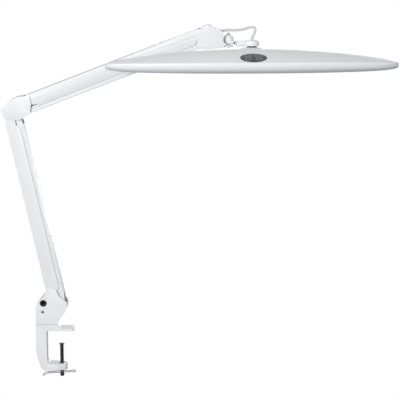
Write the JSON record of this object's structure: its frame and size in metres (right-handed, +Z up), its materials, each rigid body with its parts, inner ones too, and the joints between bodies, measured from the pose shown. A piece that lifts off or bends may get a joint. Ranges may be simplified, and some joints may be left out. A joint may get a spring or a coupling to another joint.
{
  "type": "swing arm desk lamp",
  "caption": "Swing-arm desk lamp: screw table clamp, swivel base, two parallelogram arms with balance springs, ball knuckle and a long domed LED head with a key panel.",
  "frame": {"origin": "on the clamp screw's axis, in the face of the upper jaw's pad that rests on the table top", "axes": "+X along the arms' reach, +Y away from the side where the keys are, +Z up"},
  "size_m": [0.8191, 0.1938, 0.7602],
  "materials": {
    "white_paint": "satin",
    "white_plastic": "satin",
    "grey_plastic": "satin",
    "zinc": "satin",
    "steel": "satin",
    "black_steel": "satin",
    "black_plastic": "satin",
    "grey_cable": "satin",
    "acetal": "satin",
    "rubber": "matte",
    "slate_panel": "gloss",
    "key_grey": "satin",
    "opal": "satin",
    "aluminium": "satin",
    "circuit": "satin",
    "led_phosphor": "satin"
  },
  "bodies": {
    "clamp": {"clamp_bracket": "white_paint", "top_jaw_pad": "rubber", "thread_insert": "steel", "swivel_bushing": "acetal"},
    "pressure_foot": {"pressure_foot": "black_steel"},
    "clamp_screw": {"clamp_screw": "black_steel"},
    "tommy_bar": {"tommy_bar": "zinc"},
    "turret": {"turret_frame": "white_paint", "turret_spindle": "steel", "spindle_nut": "steel", "base_cover_near": "white_plastic", "base_cover_far": "white_plastic", "dc_socket": "black_plastic", "base_cover_screw": "zinc", "base_arm_pin": "steel", "base_link_pin": "steel", "base_spring_post": "steel"},
    "lower_arm": {"lower_arm_channel": "white_paint", "lower_spring_anchor": "steel", "lower_arm_spring": "zinc", "lower_arm_lead": "grey_cable"},
    "lower_link": {"lower_link_channel": "white_paint"},
    "elbow": {"elbow_frame": "white_paint", "elbow_cover_near": "white_plastic", "elbow_cover_far": "white_plastic", "elbow_lower_arm_pin": "steel", "elbow_lower_link_pin": "steel", "elbow_upper_arm_pin": "steel", "elbow_upper_link_pin": "steel", "elbow_spring_post": "steel"},
    "upper_arm": {"upper_arm_channel": "white_paint", "upper_spring_anchor": "steel", "upper_arm_spring": "zinc", "upper_arm_lead": "grey_cable"},
    "upper_link": {"upper_link_channel": "white_paint"},
    "wrist": {"wrist_frame": "white_paint", "wrist_cover_near": "white_plastic", "wrist_cover_far": "white_plastic", "wrist_arm_pin": "steel", "wrist_link_pin": "steel", "yaw_pin": "steel", "head_lead": "grey_cable"},
    "knuckle": {"knuckle": "white_plastic", "knuckle_collar": "black_plastic", "pitch_pin": "steel"},
    "head_link": {"head_link": "white_plastic"},
    "head": {"head_shell": "white_plastic", "head_bezel": "grey_plastic", "diffuser": "opal", "heat_sink": "aluminium", "led_board": "led_phosphor", "driver_board": "circuit", "key_panel": "slate_panel", "swivel_stud": "steel", "stud_washer": "black_plastic", "stud_nut": "steel"},
    "key_power": {"key_power": "key_grey"},
    "key_mode": {"key_mode": "key_grey"},
    "key_dimmer": {"key_dimmer": "key_grey"},
    "key_brighter": {"key_brighter": "key_grey"}
  },
  "joints": [
    {"name": "clamp_foot_travel", "type": "slide", "parent": "clamp", "child": "pressure_foot", "axis": [0, 0, 1], "range_m": [-0.0401, 0.00126]},
    {"name": "clamp_screw_turn", "type": "hinge", "parent": "pressure_foot", "child": "clamp_screw", "pos_m": [0, 0, -0.0944], "axis": [0, 0, 1], "range_deg": [-11520, 360]},
    {"name": "tommy_bar_slide", "type": "slide", "parent": "clamp_screw", "child": "tommy_bar", "axis": [0.9979, 0, 0.0645], "range_m": [-0.016, 0.026]},
    {"name": "base_swivel", "type": "hinge", "parent": "clamp", "child": "turret", "pos_m": [-0.0425, 0, 0.015], "axis": [0, 0, 1], "range_deg": [-170, 170]},
    {"name": "lower_arm_tilt", "type": "hinge", "parent": "turret", "child": "lower_arm", "pos_m": [-0.0078, 0, 0.0575], "axis": [0, 1, 0], "range_deg": [-3, 52], "deforming": ["lower_arm_spring"]},
    {"name": "lower_link_tilt", "type": "hinge", "parent": "turret", "child": "lower_link", "pos_m": [0.00656, 0, 0.05548], "axis": [0, 1, 0], "range_deg": [-3, 52]},
    {"name": "elbow_level", "type": "hinge", "parent": "lower_arm", "child": "elbow", "pos_m": [-0.09834, 0, 0.47274], "axis": [0, 1, 0], "range_deg": [-52, 3]},
    {"name": "upper_arm_tilt", "type": "hinge", "parent": "elbow", "child": "upper_arm", "pos_m": [-0.07774, 0, 0.48564], "axis": [0, -1, 0], "range_deg": [-41, 34], "deforming": ["upper_arm_spring"]},
    {"name": "upper_link_tilt", "type": "hinge", "parent": "elbow", "child": "upper_link", "pos_m": [-0.06924, 0, 0.47092], "axis": [0, -1, 0], "range_deg": [-41, 34]},
    {"name": "wrist_level", "type": "hinge", "parent": "upper_arm", "child": "wrist", "pos_m": [0.31877, 0, 0.63864], "axis": [0, -1, 0], "range_deg": [-34, 41]},
    {"name": "knuckle_yaw", "type": "hinge", "parent": "wrist", "child": "knuckle", "pos_m": [0.3571, 0, 0.617], "axis": [0, 0, 1], "range_deg": [0, 90], "deforming": ["head_lead"]},
    {"name": "head_pitch", "type": "hinge", "parent": "knuckle", "child": "head_link", "pos_m": [0.37917, -0.03573, 0.6173], "axis": [-0.8508, -0.5255, 0], "range_deg": [-20, 30]},
    {"name": "head_swivel", "type": "hinge", "parent": "head_link", "child": "head", "pos_m": [0.40345, -0.07504, 0.6132], "axis": [0, 0, 1], "range_deg": [0, 80]},
    {"name": "key_power_press", "type": "slide", "parent": "head", "child": "key_power", "axis": [-0.017, 0.3238, -0.946], "range_m": [0, 0.0005], "stiffness_N_per_m": 800, "springref_m": -0.001},
    {"name": "key_mode_press", "type": "slide", "parent": "head", "child": "key_mode", "axis": [-0.017, 0.3238, -0.946], "range_m": [0, 0.0005], "stiffness_N_per_m": 800, "springref_m": -0.001},
    {"name": "key_dimmer_press", "type": "slide", "parent": "head", "child": "key_dimmer", "axis": [-0.017, 0.3238, -0.946], "range_m": [0, 0.0005], "stiffness_N_per_m": 800, "springref_m": -0.001},
    {"name": "key_brighter_press", "type": "slide", "parent": "head", "child": "key_brighter", "axis": [-0.017, 0.3238, -0.946], "range_m": [0, 0.0005], "stiffness_N_per_m": 800, "springref_m": -0.001}
  ],
  "couplings": [
    {"joint": "clamp_foot_travel", "follows": "clamp_screw_turn", "m_per_rad": 0.00019894},
    {"joint": "lower_link_tilt", "follows": "lower_arm_tilt", "ratio": 1},
    {"joint": "elbow_level", "follows": "lower_arm_tilt", "ratio": -1},
    {"joint": "upper_link_tilt", "follows": "upper_arm_tilt", "ratio": 1},
    {"joint": "wrist_level", "follows": "upper_arm_tilt", "ratio": -1}
  ]
}
